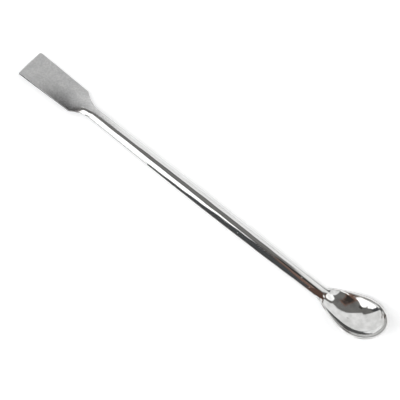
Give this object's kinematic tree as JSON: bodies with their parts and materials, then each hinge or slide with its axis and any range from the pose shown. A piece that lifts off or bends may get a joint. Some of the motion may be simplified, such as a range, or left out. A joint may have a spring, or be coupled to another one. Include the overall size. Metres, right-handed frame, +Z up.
{
  "type": "lab spatula",
  "caption": "Lab spatula of polished stainless steel, with a flat flared blade, a round handle that swells at mid length, and an egg-shaped bowl.",
  "frame": {"origin": "centre of the footprint, on the bench the spatula rests on", "axes": "+X along the length, from the blade to the bowl; +Z up from the bench; +Y to the left of the length, the side the spatula has rolled to, so the bowl's mouth faces up and toward +Y"},
  "size_m": [0.18, 0.0158, 0.0129],
  "materials": {
    "stainless_steel": "polished handle and bowl, satin blade"
  },
  "bodies": {
    "root": {"spatula": "stainless_steel"}
  },
  "joints": []
}
